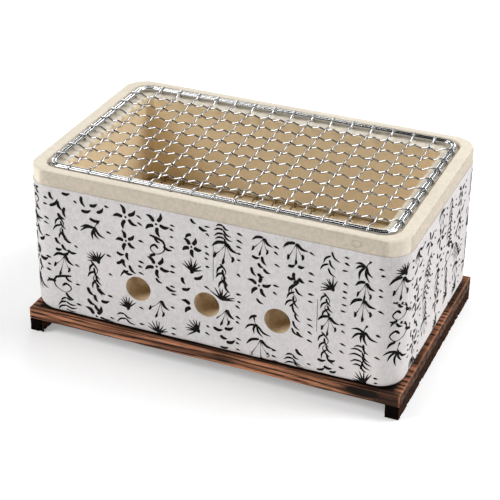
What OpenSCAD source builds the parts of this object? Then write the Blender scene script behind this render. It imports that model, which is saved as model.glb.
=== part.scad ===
// Tabletop charcoal grill: a diatomite fire box in a printed paper wrap, standing on a burnt-wood
// base, with a woven cooking net in its rim and a woven charcoal grate on a ledge inside.
// Millimetres, +Z up. The origin is on the table, under the middle of the grill.

/* [Base] */
// Length of the board
board_len = 255; // [245:1:275]
// Depth of the board
board_dep = 156.4; // [152:0.2:180]
// Thickness of the board
board_t = 8.4; // [6:0.1:12]
// Width of each foot batten
batten_w = 9.6; // [8:0.1:24]
// Height of each foot batten
batten_h = 9.2; // [6:0.1:14]
// Diameter of the batten nails
nail_d = 1.6; // [1.2:0.1:2.4]
// Diameter of the nail heads
nail_head_d = 3.6; // [3:0.1:5]
// Length of the batten nails
nail_len = 14; // [11:0.5:15]

/* [Fire box] */
// Length of the fire box
box_len = 250; // [240:1:260]
// Depth of the fire box
box_dep = 154; // [146:1:156]
// Height of the fire box
box_h = 103; // [95:1:115]
// Radius of the upright corners
box_corner_r = 16; // [12:1:22]
// Rounding of the rim's outer edge
rim_round = 2; // [1.5:0.5:4]
// Rounding of the bottom edge
sole_round = 7; // [4:0.5:9]
// Thickness of the walls above the ledge
wall_t = 20; // [18:0.5:24]
// Radius of the inner corners
cavity_r = 5; // [3:0.5:8]
// Thickness of the floor
floor_t = 16; // [12:1:22]
// Height of the grate ledge above the box's underside
ledge_h = 39; // [38:0.2:50]
// Width of the grate ledge
ledge_w = 10; // [7:0.5:12]

/* [Vents] */
// Diameter of the vents
vent_d = 17; // [12:0.5:20]
// Distance between vents
vent_pitch = 47; // [40:1:60]
// Height of the vents' centres above the box's underside
vent_h = 33; // [28:0.5:34]

/* [Paper wrap] */
// Thickness of the paper
paper_t = 0.3; // [0.2:0.05:0.5]
// Height of the paper's top edge above the box's underside
paper_top_h = 92.6; // [80:0.2:96]

/* [Cooking net] */
// Diameter of the frame rods
rod_d = 2; // [1.6:0.1:2.6]
// Diameter of the woven wires
wire_d = 1.2; // [1:0.1:1.4]
// Cross wires, which run from front to back
net_cross_n = 15; // [11:2:15]
// Long wires, which run from end to end
net_long_n = 8; // [6:2:8]
// Distance between cross wires
net_cross_pitch = 14; // [12:0.5:14]
// Distance between long wires
net_long_pitch = 14.8; // [12:0.2:14.8]
// Half length of the frame, to the line where its two rods touch
net_half_len = 112.5; // [110:0.5:113]
// Half depth of the frame, to the line where its two rods touch
net_half_dep = 66.5; // [64:0.5:67]
// Corner radius of the frame, to the same line
net_corner_r = 8; // [6:0.5:12]
// Depth of the rebate that holds the net
rebate_depth = 3; // [2.6:0.1:4]

/* [Charcoal grate] */
// Cross wires of the grate
grate_cross_n = 14; // [10:2:14]
// Long wires of the grate
grate_long_n = 7; // [5:2:7]
// Distance between the grate's wires
grate_pitch = 14; // [12:0.5:14]
// Gap all round between the grate and the walls
grate_gap = 1.2; // [0.8:0.1:3]

/* [Hidden] */
$fn = 48;

wood = "#4a2a1c";
char_wood = "#1d1513";
diatomite = "#eadfc9";
paper = "#e4e1dd";
steel = "#c9ccd0";

board_z = batten_h;
box_z = board_z + board_t;
rim_z = box_z + box_h;
ledge_z = box_z + ledge_h;
vent_z = box_z + vent_h;
cavity_len = box_len - 2 * wall_t;
cavity_dep = box_dep - 2 * wall_t;
ash_len = cavity_len - 2 * ledge_w;
ash_dep = cavity_dep - 2 * ledge_w;
batten_x = (board_len - batten_w) / 2;
nail_y = board_dep / 2 - 24;
nail_clear = 0.02;
// The nail head's underside and its seat, above the table.
nail_sink = 0.6;
nail_seat = 1.6;
paper_curl_h = 1.4;

// A wire wraps round a rod this far from the rod's centre, and two crossing wires lie this far
// above and below the middle of the weave.
wire_clear = 0.05;
wrap_r = (rod_d + wire_d) / 2 + wire_clear;
weave_h = wire_d / 2 + wire_clear;
wire_sides = 6;
rod_clear = 0.03;

// Each net stands on the hooks of its wires, one wire below its rods.
hook_h = wrap_r + wire_d / 2;
net_z = rim_z - rebate_depth + hook_h;
grate_z = ledge_z + hook_h;
rebate_gap = 0.8;
rebate_len = 2 * (net_half_len + rod_d + wire_d + rebate_gap);
rebate_dep = 2 * (net_half_dep + rod_d + wire_d + rebate_gap);
rebate_r = net_corner_r + rod_d + wire_d;
grate_half_len = cavity_len / 2 - grate_gap - wire_d - wire_clear - rod_d / 2;
grate_half_dep = cavity_dep / 2 - grate_gap - wire_d - wire_clear - rod_d / 2;
grate_corner_r = 6;

module rounded_rect(len, dep, r) {
    square([len - 2 * r, dep], center = true);
    square([len, dep - 2 * r], center = true);
    for (x = [-1, 1], y = [-1, 1])
        translate([x * (len / 2 - r), y * (dep / 2 - r)]) circle(r);
}

module slab(len, dep, r, z0, z1) {
    translate([0, 0, z0]) linear_extrude(z1 - z0) rounded_rect(len, dep, r);
}

// One upright corner of the fire box, with both of its ends rounded.
module corner_post(grow) {
    r = box_corner_r + grow;
    sole_r = sole_round + grow;
    translate([0, 0, box_z + sole_round]) rotate_extrude($fn = 32)
        translate([r - sole_r, 0]) circle(sole_r, $fn = 32);
    translate([0, 0, rim_z - rim_round]) rotate_extrude($fn = 32)
        translate([r - rim_round, 0]) circle(rim_round, $fn = 24);
}

module box_form(grow) {
    hull()
        for (x = [-1, 1], y = [-1, 1])
            translate([x * (box_len / 2 - box_corner_r), y * (box_dep / 2 - box_corner_r), 0])
                corner_post(grow);
}

module vents(d) {
    for (i = [-1 : 1])
        translate([i * vent_pitch, -box_dep / 2 - 1, vent_z])
            rotate([-90, 0, 0]) cylinder(d = d, h = wall_t + ledge_w + 2);
}

module fire_box_tub() {
    color(diatomite) difference() {
        box_form(0);
        slab(rebate_len, rebate_dep, rebate_r, rim_z - rebate_depth, rim_z + 1);
        slab(cavity_len, cavity_dep, cavity_r, ledge_z, rim_z);
        slab(ash_len, ash_dep, cavity_r, box_z + floor_t, rim_z);
        vents(vent_d);
    }
}

module washi_wrap() {
    color(paper) difference() {
        intersection() {
            box_form(paper_t);
            translate([0, 0, box_z + paper_curl_h + (paper_top_h - paper_curl_h) / 2])
                cube([box_len + 10, box_dep + 10, paper_top_h - paper_curl_h], center = true);
        }
        box_form(0);
        vents(vent_d);
    }
}

module base_board() {
    color(wood) difference() {
        translate([-board_len / 2, -board_dep / 2, board_z]) cube([board_len, board_dep, board_t]);
        at_nails() cylinder(r = nail_d / 2 + nail_clear, h = nail_sink + nail_len + 0.5);
    }
}

module foot_batten(side) {
    color(char_wood) difference() {
        translate([side * batten_x - batten_w / 2, -board_dep / 2, 0])
            cube([batten_w, board_dep, batten_h]);
        at_nails() translate([0, 0, -1]) cylinder(r = nail_d / 2 + nail_clear, h = batten_h + 2);
        at_nails() translate([0, 0, -1]) cylinder(r = nail_head_d / 2 + nail_clear, h = 1 + nail_seat);
    }
}

module left_batten() {
    foot_batten(-1);
}

module right_batten() {
    foot_batten(1);
}

module at_nails() {
    for (x = [-1, 1], y = [-1, 1]) translate([x * batten_x, y * nail_y, 0]) children();
}

// Each nail's head sits below the batten's underside, and its shank runs up into the board.
module batten_nails() {
    color(steel) at_nails() translate([0, 0, nail_sink]) {
        cylinder(d = nail_head_d, h = nail_seat - nail_sink);
        cylinder(d = nail_d, h = nail_len);
    }
}

// A round rod bent into a closed rectangle: half_len and half_dep run to the rod's middle.
module ring_rod(half_len, half_dep, r, d, z) {
    straight_len = 2 * (half_len - r);
    straight_dep = 2 * (half_dep - r);
    translate([0, 0, z]) {
        for (y = [-1, 1]) translate([0, y * half_dep, 0])
            rotate([0, 90, 0]) cylinder(d = d, h = straight_len, center = true);
        for (x = [-1, 1]) translate([x * half_len, 0, 0])
            rotate([90, 0, 0]) cylinder(d = d, h = straight_dep, center = true);
        for (quarter = [[1, 1, 0], [-1, 1, 90], [-1, -1, 180], [1, -1, 270]])
            translate([quarter[0] * (half_len - r), quarter[1] * (half_dep - r), 0])
                rotate([0, 0, quarter[2]]) rotate_extrude(angle = 90)
                    translate([r, 0]) circle(d = d, $fn = 24);
    }
}

module net_outer_rod() {
    off = rod_d / 2 + rod_clear;
    color(steel)
        ring_rod(net_half_len + off, net_half_dep + off, net_corner_r + off, rod_d, net_z);
}

module net_inner_rod() {
    off = rod_d / 2 + rod_clear;
    color(steel)
        ring_rod(net_half_len - off, net_half_dep - off, net_corner_r - off, rod_d, net_z);
}

module grate_rod() {
    color(steel) ring_rod(grate_half_len, grate_half_dep, grate_corner_r, rod_d, grate_z);
}

// The left normal of a direction in the wire's own plane.
function left_of(v) = [-v[1], v[0]];

function unit(v) = v / norm(v);

// One ring of a wire's skin, square to the bisector of the lengths that meet there.
function wire_ring(corner, d_in, d_out) =
    let (up = unit(left_of(d_in) + left_of(d_out)), r = wire_d / 2, stretch = r / (up * left_of(d_in)))
    [for (s = [0 : wire_sides - 1])
        let (a = s * 360 / wire_sides)
        [corner[0] + stretch * sin(a) * up[0], r * cos(a), corner[1] + stretch * sin(a) * up[1]]];

// A wire through corners [distance along the wire, height], swept as one skin.
module bent_wire(corners) {
    last = len(corners) - 1;
    dirs = [for (i = [0 : last - 1]) unit(corners[i + 1] - corners[i])];
    skin = [for (i = [0 : last])
        each wire_ring(corners[i], dirs[max(i - 1, 0)], dirs[min(i, last - 1)])];
    sides = [for (i = [0 : last - 1], s = [0 : wire_sides - 1])
        let (a = i * wire_sides + s, b = i * wire_sides + (s + 1) % wire_sides)
        [a, a + wire_sides, b + wire_sides, b]];
    start = [for (s = [0 : wire_sides - 1]) s];
    end = [for (s = [wire_sides - 1 : -1 : 0]) last * wire_sides + s];
    polyhedron(skin, concat([start, end], sides), convexity = 10);
}

// The hook at a wire's right-hand end goes over every rod from the inner one, at inner_x, to the
// outer one, at outer_x, and comes back underneath.
function hook(inner_x, outer_x) =
    let (bevel = wrap_r * tan(22.5))
    [[inner_x - rod_d / 2, wrap_r],
     [outer_x + bevel, wrap_r],
     [outer_x + wrap_r, bevel],
     [outer_x + wrap_r, -bevel],
     [outer_x + bevel, -wrap_r],
     [inner_x, -wrap_r]];

function mirrored(points) =
    [for (i = [len(points) - 1 : -1 : 0]) [-points[i][0], points[i][1]]];

// A woven wire's corners: it goes over and under n crossings, and starts over them when first is 1.
function woven(n, pitch, first, inner_x, outer_x) = concat(
    mirrored(hook(inner_x, outer_x)),
    [for (i = [0 : n - 1]) [(i - (n - 1) / 2) * pitch, (i % 2 == 0 ? first : -first) * weave_h]],
    hook(inner_x, outer_x));

function over_first(i) = i % 2 == 0 ? 1 : -1;

module cross_wire(i, n, pitch, z, corners) {
    color(steel) translate([(i - (n + 1) / 2) * pitch, 0, z])
        rotate([0, 0, 90]) bent_wire(corners);
}

module long_wire(i, n, pitch, z, corners) {
    color(steel) translate([0, (i - (n + 1) / 2) * pitch, z]) bent_wire(corners);
}

module net_cross_wire(i) {
    off = rod_d / 2 + rod_clear;
    cross_wire(i, net_cross_n, net_cross_pitch, net_z,
        woven(net_long_n, net_long_pitch, over_first(i), net_half_dep - off, net_half_dep + off));
}

module net_long_wire(i) {
    off = rod_d / 2 + rod_clear;
    long_wire(i, net_long_n, net_long_pitch, net_z,
        woven(net_cross_n, net_cross_pitch, -over_first(i), net_half_len - off, net_half_len + off));
}

module grate_cross_wire(i) {
    cross_wire(i, grate_cross_n, grate_pitch, grate_z,
        woven(grate_long_n, grate_pitch, over_first(i), grate_half_dep, grate_half_dep));
}

module grate_long_wire(i) {
    long_wire(i, grate_long_n, grate_pitch, grate_z,
        woven(grate_cross_n, grate_pitch, -over_first(i), grate_half_len, grate_half_len));
}

base_board();
left_batten();
right_batten();
batten_nails();
fire_box_tub();
washi_wrap();
net_outer_rod();
net_inner_rod();
for (i = [1 : net_cross_n])
    net_cross_wire(i);
for (i = [1 : net_long_n])
    net_long_wire(i);
grate_rod();
for (i = [1 : grate_cross_n])
    grate_cross_wire(i);
for (i = [1 : grate_long_n])
    grate_long_wire(i);
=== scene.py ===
"""A tabletop charcoal grill: the looks of its fire box, paper wrap, wire nets and burnt-wood base."""
import math
import random

import bpy
import numpy as np
from mathutils import Matrix, Vector, noise


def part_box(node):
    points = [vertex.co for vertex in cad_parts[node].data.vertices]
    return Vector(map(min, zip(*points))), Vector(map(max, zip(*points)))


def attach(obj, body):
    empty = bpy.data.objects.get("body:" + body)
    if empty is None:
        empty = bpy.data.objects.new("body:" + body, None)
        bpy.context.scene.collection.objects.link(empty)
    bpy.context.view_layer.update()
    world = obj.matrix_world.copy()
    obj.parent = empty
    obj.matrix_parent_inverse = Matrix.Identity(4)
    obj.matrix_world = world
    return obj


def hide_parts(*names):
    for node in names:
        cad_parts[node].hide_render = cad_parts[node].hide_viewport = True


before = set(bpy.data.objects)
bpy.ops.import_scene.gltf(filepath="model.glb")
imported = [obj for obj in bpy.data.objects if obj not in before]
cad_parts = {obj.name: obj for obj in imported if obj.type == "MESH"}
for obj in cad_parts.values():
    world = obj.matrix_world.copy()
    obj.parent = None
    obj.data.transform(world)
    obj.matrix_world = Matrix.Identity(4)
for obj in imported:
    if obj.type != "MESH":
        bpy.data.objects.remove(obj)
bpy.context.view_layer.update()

bl_info = {
    "name": "Hibachi grill",
    "version": (1, 0, 0),
    "blender": (4, 5, 0),
    "location": "3D View > Sidebar > Grill",
    "description": "Builds a tabletop charcoal grill around its packed frame",
    "category": "Object",
}

MM = 0.001


# ---------------------------------------------------------------- places, read from the frame

TUB_LOW, TUB_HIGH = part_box("fire_box_tub")
WRAP_LOW, WRAP_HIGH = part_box("washi_wrap")
BOARD_LOW, BOARD_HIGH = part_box("base_board")
OUTER_ROD_LOW, OUTER_ROD_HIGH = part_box("net_outer_rod")
INNER_ROD_LOW, INNER_ROD_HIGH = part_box("net_inner_rod")
GRATE_ROD_LOW, GRATE_ROD_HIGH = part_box("grate_rod")


def middle(name):
    """The middle of a CAD node's box."""
    low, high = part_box(name)
    return (low + high) / 2


def wire_places(prefix, axis):
    """Where the wires of one family lie, along the axis that they are spaced on."""
    count = sum(name.startswith(prefix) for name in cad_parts)
    return [middle(f"{prefix}{i}")[axis] for i in range(1, count + 1)]


# ---------------------------------------------------------------- settings


class FireBoxSettings(bpy.types.PropertyGroup):
    corner_radius: bpy.props.FloatProperty(
        name="Corner radius", description="Radius of the upright corners",
        default=16 * MM, unit="LENGTH")
    rim_round: bpy.props.FloatProperty(
        name="Rim rounding", description="Rounding of the rim's outer edge",
        default=2 * MM, unit="LENGTH")
    sole_round: bpy.props.FloatProperty(
        name="Sole rounding", description="Rounding of the bottom edge",
        default=7 * MM, unit="LENGTH")
    wall: bpy.props.FloatProperty(
        name="Wall", description="Thickness of the walls above the ledge",
        default=20 * MM, unit="LENGTH")
    ledge_width: bpy.props.FloatProperty(
        name="Ledge width", description="Width of the ledge that carries the grate",
        default=10 * MM, unit="LENGTH")
    floor: bpy.props.FloatProperty(
        name="Floor", description="Thickness of the floor",
        default=16 * MM, unit="LENGTH")
    rebate_depth: bpy.props.FloatProperty(
        name="Rebate depth", description="Depth of the rebate that holds the net",
        default=3 * MM, unit="LENGTH")
    rebate_gap: bpy.props.FloatProperty(
        name="Rebate gap", description="Gap between the net's outer rod and the rebate's wall",
        default=1.9 * MM, unit="LENGTH")
    inner_radius: bpy.props.FloatProperty(
        name="Inner corner radius", description="Radius of the cavity's corners",
        default=5 * MM, unit="LENGTH")
    # Painted shade: this dark brown stands for the shade inside the vents and in the ash space under the grate.
    recess_shade_colour: bpy.props.FloatVectorProperty(
        name="Vent walls", description="Colour of the vents and of the ash space",
        default=(0.33, 0.20, 0.085), subtype="COLOR", size=3)
    chips: bpy.props.IntProperty(
        name="Chips", description="Small chips and dents along the rim", default=70)
    colour: bpy.props.FloatVectorProperty(
        name="Diatomite", description="Colour of the baked diatomite",
        default=(0.86, 0.785, 0.655), subtype="COLOR", size=3)
    # The band's darker, greyer colour is partly its own grime and partly painted shade on the upright faces.
    side_colour: bpy.props.FloatVectorProperty(
        name="Band", description="Colour of the sawn band above the paper",
        default=(0.60, 0.53, 0.435), subtype="COLOR", size=3)
    # Partly the cut faces' own tan and partly painted bounce light, set brighter than the outside so that the cavity
    # reads as lit.
    inner_colour: bpy.props.FloatVectorProperty(
        name="Inner diatomite", description="Colour of the cut faces inside the cavity",
        default=(1.0, 0.83, 0.57), subtype="COLOR", size=3)


class VentSettings(bpy.types.PropertyGroup):
    diameter: bpy.props.FloatProperty(
        name="Diameter", description="Diameter of each vent", default=17 * MM, unit="LENGTH")
    pitch: bpy.props.FloatProperty(
        name="Pitch", description="Distance between vents", default=47 * MM, unit="LENGTH")
    height: bpy.props.FloatProperty(
        name="Height", description="Height of the vents' centres above the box's underside",
        default=33 * MM, unit="LENGTH")


class PaperSettings(bpy.types.PropertyGroup):
    colour: bpy.props.FloatVectorProperty(
        name="Paper", description="Colour of the handmade paper",
        default=(0.645, 0.615, 0.617), subtype="COLOR", size=3)
    ink: bpy.props.FloatVectorProperty(
        name="Ink", description="Colour of the ink", default=(0.004, 0.004, 0.004),
        subtype="COLOR", size=3)
    column_pitch: bpy.props.FloatProperty(
        name="Column pitch", description="Distance between columns of ink marks",
        default=22.5 * MM, unit="LENGTH")
    mark_size: bpy.props.FloatProperty(
        name="Mark size", description="Size of one ink mark", default=17 * MM, unit="LENGTH")
    seed: bpy.props.IntProperty(name="Seed", description="Seed of the ink marks", default=11)


class NetSettings(bpy.types.PropertyGroup):
    wire: bpy.props.FloatProperty(
        name="Wire", description="Diameter of the woven wires", default=1.2 * MM, unit="LENGTH")
    rod: bpy.props.FloatProperty(
        name="Rod", description="Diameter of the frame rods", default=2 * MM, unit="LENGTH")
    crimp: bpy.props.FloatProperty(
        name="Crimp", description="How far a wire rises and falls from the middle of the weave",
        default=0.78 * MM, unit="LENGTH")
    corner_radius: bpy.props.FloatProperty(
        name="Corner radius", description="Corner radius of the net, between its two rods",
        default=8 * MM, unit="LENGTH")
    grate_corner_radius: bpy.props.FloatProperty(
        name="Grate corner radius", description="Corner radius of the grate's rod",
        default=6 * MM, unit="LENGTH")
    colour: bpy.props.FloatVectorProperty(
        name="Wire colour", description="Colour of the bright wire",
        default=(0.60, 0.61, 0.62), subtype="COLOR", size=3)
    # Painted reflection: the dark olive-brown stands for the tan cavity mirrored in the grate's wire.
    grate_reflection_colour: bpy.props.FloatVectorProperty(
        name="Grate colour", description="Colour of the grate's wire, tinted by a painted reflection of the cavity",
        default=(0.34, 0.28, 0.19), subtype="COLOR", size=3)


class WoodSettings(bpy.types.PropertyGroup):
    relief: bpy.props.FloatProperty(
        name="Relief", description="How far the hard grain stands above the soft",
        default=0.45 * MM, unit="LENGTH")
    ring: bpy.props.FloatProperty(
        name="Ring", description="Distance between growth rings", default=2.6 * MM, unit="LENGTH")
    ridge_colour: bpy.props.FloatVectorProperty(
        name="Brushed wood", description="Colour of the brushed wood between the grain lines",
        default=(0.50, 0.215, 0.115), subtype="COLOR", size=3)
    char_colour: bpy.props.FloatVectorProperty(
        name="Char", description="Colour of the charred grain",
        default=(0.008, 0.0055, 0.0045), subtype="COLOR", size=3)


class StageSettings(bpy.types.PropertyGroup):
    azimuth: bpy.props.FloatProperty(
        name="Azimuth", description="Camera's turn to the right of the vented side",
        default=math.radians(22.56), unit="ROTATION")
    elevation: bpy.props.FloatProperty(
        name="Elevation", description="Camera's angle above the table",
        default=math.radians(29.49), unit="ROTATION")
    roll: bpy.props.FloatProperty(
        name="Roll", description="Camera's roll", default=math.radians(0.67), unit="ROTATION")
    distance: bpy.props.FloatProperty(
        name="Distance", description="Distance from the camera to its aim",
        default=1.0, unit="LENGTH")
    lens: bpy.props.FloatProperty(
        name="Lens", description="Focal length on a 36 mm sensor, in millimetres", default=109.0)
    aim: bpy.props.FloatVectorProperty(
        name="Aim", description="The point that the camera looks at, from the grill's origin",
        default=(-4.2 * MM, 1.6 * MM, 47.6 * MM), subtype="TRANSLATION", size=3)
    fill: bpy.props.FloatProperty(
        name="Fill", description="Strength of the light from all round", default=0.66)
    key: bpy.props.FloatProperty(
        name="Key", description="Power of the light above and to the right, in watts", default=8.5)
    front: bpy.props.FloatProperty(
        name="Front", description="Power of the large light before the vented side, in watts", default=19.0)
    overhead: bpy.props.FloatProperty(
        name="Overhead", description="Power of the light overhead, in watts", default=9.0)
    back: bpy.props.FloatProperty(
        name="Back", description="Power of the light behind and to the right, in watts", default=9.0)
    rear: bpy.props.FloatProperty(
        name="Rear", description="Power of the light behind and to the left, in watts", default=5.0)
    floor_glow: bpy.props.FloatProperty(
        name="Floor glow", description="How brightly the floor is lit from below", default=0.3)
    floor_colour: bpy.props.FloatVectorProperty(
        name="Floor", description="Colour of the floor", default=(0.92, 0.92, 0.92),
        subtype="COLOR", size=3)


# ---------------------------------------------------------------- meshes


def new_piece(name, points, faces, materials, smooth=True):
    """A mesh object from points and faces, linked to the scene."""
    mesh = bpy.data.meshes.new(name)
    mesh.from_pydata([tuple(map(float, p)) for p in points], [], [tuple(map(int, f)) for f in faces])
    mesh.validate()
    piece = bpy.data.objects.new(name, mesh)
    bpy.context.scene.collection.objects.link(piece)
    for material in materials:
        mesh.materials.append(material)
    mesh.polygons.foreach_set("use_smooth", [smooth] * len(mesh.polygons))
    mesh.update()
    return piece


def paint(piece, name, values):
    """Stores one number per vertex under a name that materials can read."""
    layer = piece.data.attributes.new(name, "FLOAT", "POINT")
    layer.data.foreach_set("value", np.asarray(values, np.float32))


def apply_modifiers(piece):
    """Replaces a piece's mesh with its evaluated mesh, and drops its modifiers."""
    graph = bpy.context.evaluated_depsgraph_get()
    mesh = bpy.data.meshes.new_from_object(piece.evaluated_get(graph))
    old = piece.data
    piece.modifiers.clear()
    piece.data = mesh
    bpy.data.meshes.remove(old)


def sharpen(piece, angle):
    """Smooth shading that stays crisp at edges above an angle in degrees."""
    piece.data.set_sharp_from_angle(angle=math.radians(angle))


class Outline:
    """A rounded rectangle, walked anticlockwise from the left end of its front side."""

    def __init__(self, half_x, half_y, radius):
        self.half_x, self.half_y, self.radius = half_x, half_y, radius
        self.long, self.short = 2 * (half_x - radius), 2 * (half_y - radius)
        self.arc = math.pi / 2 * radius
        self.length = 2 * (self.long + self.short + 2 * self.arc)

    def at(self, s):
        """The point and outward normal at a distance along the outline."""
        s %= self.length
        x, y, r = self.half_x - self.radius, self.half_y - self.radius, self.radius
        legs = ((self.long, (-x, -self.half_y), (1, 0), (x, -y)),
                (self.short, (self.half_x, -y), (0, 1), (x, y)),
                (self.long, (x, self.half_y), (-1, 0), (-x, y)),
                (self.short, (-self.half_x, y), (0, -1), (-x, -y)))
        for length, start, way, centre in legs:
            if s <= length:
                return (start[0] + way[0] * s, start[1] + way[1] * s), (way[1], -way[0])
            s -= length
            if s <= self.arc:
                turn = s / r
                nx = way[1] * math.cos(turn) + way[0] * math.sin(turn)
                ny = -way[0] * math.cos(turn) + way[1] * math.sin(turn)
                return (centre[0] + nx * r, centre[1] + ny * r), (nx, ny)
            s -= self.arc
        return (-x, -self.half_y), (0, -1)


def ring(half_x, half_y, radius, counts):
    """Points of a rounded rectangle, with the same number on each side whatever its size."""
    along, across, turn = counts
    x, y = half_x - radius, half_y - radius
    points = []
    sides = (((-x, -half_y), (x, -half_y), (x, -y), along), ((half_x, -y), (half_x, y), (x, y), across),
             ((x, half_y), (-x, half_y), (-x, y), along), ((-half_x, y), (-half_x, -y), (-x, -y), across))
    for k, (start, end, centre, count) in enumerate(sides):
        for i in range(count):
            t = i / count
            points.append((start[0] + (end[0] - start[0]) * t, start[1] + (end[1] - start[1]) * t))
        for i in range(turn):
            a = math.radians(-90 + 90 * k) + math.pi / 2 * i / turn
            points.append((centre[0] + radius * math.cos(a), centre[1] + radius * math.sin(a)))
    return points


def loft(stations, counts, closed=False):
    """Points and quads of a skin through stations (half_x, half_y, radius, z)."""
    points, faces = [], []
    for half_x, half_y, radius, z in stations:
        points += [(x, y, z) for x, y in ring(half_x, half_y, radius, counts)]
    n = len(points) // len(stations)
    rows = len(stations) if closed else len(stations) - 1
    for k in range(rows):
        a, b = k * n, (k + 1) % len(stations) * n
        faces += [(a + i, a + (i + 1) % n, b + (i + 1) % n, b + i) for i in range(n)]
    if not closed:
        faces.append(tuple(range(n - 1, -1, -1)))
        faces.append(tuple(range((len(stations) - 1) * n, len(stations) * n)))
    return points, faces


def span(start, end, step):
    """Evenly spaced numbers from start to end, about a step apart, both ends included."""
    count = max(1, round(abs(end - start) / step))
    return [start + (end - start) * i / count for i in range(count + 1)]


def tube(path, radius, sides, closed=False):
    """A round tube along a path of 3-D points."""
    path = np.asarray(path, float)
    moves = np.linalg.norm(np.diff(path, axis=0), axis=1) > 1e-7
    path = path[np.insert(moves, 0, True)]
    count = len(path)
    if closed:
        ways = np.roll(path, -1, 0) - np.roll(path, 1, 0)
    else:
        ways = np.gradient(path, axis=0)
    ways /= np.linalg.norm(ways, axis=1)[:, None]
    side = np.cross(ways[0], (0.0, 0.0, 1.0))
    if np.linalg.norm(side) < 1e-6:
        side = np.array((1.0, 0.0, 0.0))
    points, faces = [], []
    for k in range(count):
        side = side - ways[k] * side.dot(ways[k])
        side /= np.linalg.norm(side)
        up = np.cross(side, ways[k])
        for j in range(sides):
            a = 2 * math.pi * j / sides
            points.append(path[k] + radius * (math.cos(a) * side + math.sin(a) * up))
    for k in range(count if closed else count - 1):
        a, b = k * sides, (k + 1) % count * sides
        faces += [(a + j, a + (j + 1) % sides, b + (j + 1) % sides, b + j) for j in range(sides)]
    if not closed:
        faces.append(tuple(range(sides - 1, -1, -1)))
        faces.append(tuple(range((count - 1) * sides, count * sides)))
    return points, faces


def grid_box(xs, ys, zs):
    """Points, outward normals and quads of a box whose faces are divided at these places."""
    last = (len(xs) - 1, len(ys) - 1, len(zs) - 1)
    index, points, normals, faces = {}, [], [], []

    def corner(i, j, k):
        key = (i, j, k)
        if key not in index:
            index[key] = len(points)
            points.append((xs[i], ys[j], zs[k]))
            normal = [(-1 if at == 0 else 0) + (1 if at == end else 0) for at, end in zip(key, last)]
            normals.append(Vector(normal).normalized())
        return index[key]

    for i in range(last[0]):
        for j in range(last[1]):
            faces.append((corner(i, j, 0), corner(i, j + 1, 0), corner(i + 1, j + 1, 0), corner(i + 1, j, 0)))
            k = last[2]
            faces.append((corner(i, j, k), corner(i + 1, j, k), corner(i + 1, j + 1, k), corner(i, j + 1, k)))
    for i in range(last[0]):
        for k in range(last[2]):
            faces.append((corner(i, 0, k), corner(i + 1, 0, k), corner(i + 1, 0, k + 1), corner(i, 0, k + 1)))
            j = last[1]
            faces.append((corner(i, j, k), corner(i, j, k + 1), corner(i + 1, j, k + 1), corner(i + 1, j, k)))
    for j in range(last[1]):
        for k in range(last[2]):
            faces.append((corner(0, j, k), corner(0, j, k + 1), corner(0, j + 1, k + 1), corner(0, j + 1, k)))
            i = last[0]
            faces.append((corner(i, j, k), corner(i, j + 1, k), corner(i, j + 1, k + 1), corner(i, j, k + 1)))
    return points, normals, faces


def rough(point, scale, offset=0.0):
    """Smooth noise from about -1 to 1 at a point, with features of the given size."""
    return noise.noise(Vector(point) / scale + Vector((offset, offset * 0.7, offset * 1.3)))


# ---------------------------------------------------------------- shader tools


class Shader:
    """Short calls for building one node tree."""

    def __init__(self, tree):
        self.tree = tree

    def node(self, kind, feeds=None, **settings):
        """A node with its settings, whose inputs are fed by sockets or plain values."""
        node = self.tree.nodes.new(kind)
        for name, value in settings.items():
            setattr(node, name, value)
        for name, value in (feeds or {}).items():
            if isinstance(value, bpy.types.NodeSocket):
                self.tree.links.new(value, node.inputs[name])
            else:
                node.inputs[name].default_value = value
        return node

    def math(self, operation, a, b=0.0, clamp=False):
        """One Math node's result."""
        node = self.node("ShaderNodeMath", {0: a, 1: b}, operation=operation, use_clamp=clamp)
        return node.outputs[0]

    def noise(self, vector, scale, detail=3.0, roughness=0.55, distortion=0.0):
        """Noise from 0 to 1 over a vector."""
        return self.node("ShaderNodeTexNoise", {
            "Vector": vector, "Scale": scale, "Detail": detail, "Roughness": roughness,
            "Distortion": distortion}).outputs["Fac"]

    def stretch(self, vector, scale):
        """A vector scaled apart along its axes."""
        return self.node("ShaderNodeMapping", {"Vector": vector, "Scale": scale}).outputs[0]

    def mix(self, factor, a, b, blend="MIX"):
        """A mix of two colours."""
        node = self.node("ShaderNodeMix", data_type="RGBA", blend_type=blend)
        for at, value in ((0, factor), (6, a), (7, b)):
            if isinstance(value, bpy.types.NodeSocket):
                self.tree.links.new(value, node.inputs[at])
            else:
                node.inputs[at].default_value = value if at == 0 else (*value[:3], 1.0)
        return node.outputs[2]

    def remap(self, value, low, high, to_low=0.0, to_high=1.0):
        """A value moved from one range to another, and kept inside it."""
        return self.node("ShaderNodeMapRange", {
            "Value": value, "From Min": low, "From Max": high, "To Min": to_low,
            "To Max": to_high}).outputs[0]

    def bump(self, height, distance, strength=1.0, normal=None):
        """A bumped normal."""
        feeds = {"Height": height, "Distance": distance, "Strength": strength}
        if normal is not None:
            feeds["Normal"] = normal
        return self.node("ShaderNodeBump", feeds).outputs[0]

    def group(self, tree, feeds):
        """A shared effect, placed with its own values."""
        return self.node("ShaderNodeGroup", feeds, node_tree=tree)


def new_group(name, inputs, outputs):
    """An empty shared effect with named inputs and outputs: (group, its Shader, inputs, ends)."""
    tree = bpy.data.node_groups.new(name, "ShaderNodeTree")
    for label, kind, value in inputs:
        socket = tree.interface.new_socket(label, in_out="INPUT", socket_type=kind)
        if value is not None:
            socket.default_value = value
    for label, kind in outputs:
        tree.interface.new_socket(label, in_out="OUTPUT", socket_type=kind)
    shader = Shader(tree)
    start = tree.nodes.new("NodeGroupInput").outputs
    end = tree.nodes.new("NodeGroupOutput").inputs
    return tree, shader, start, end


# ---------------------------------------------------------------- shared effects


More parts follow.
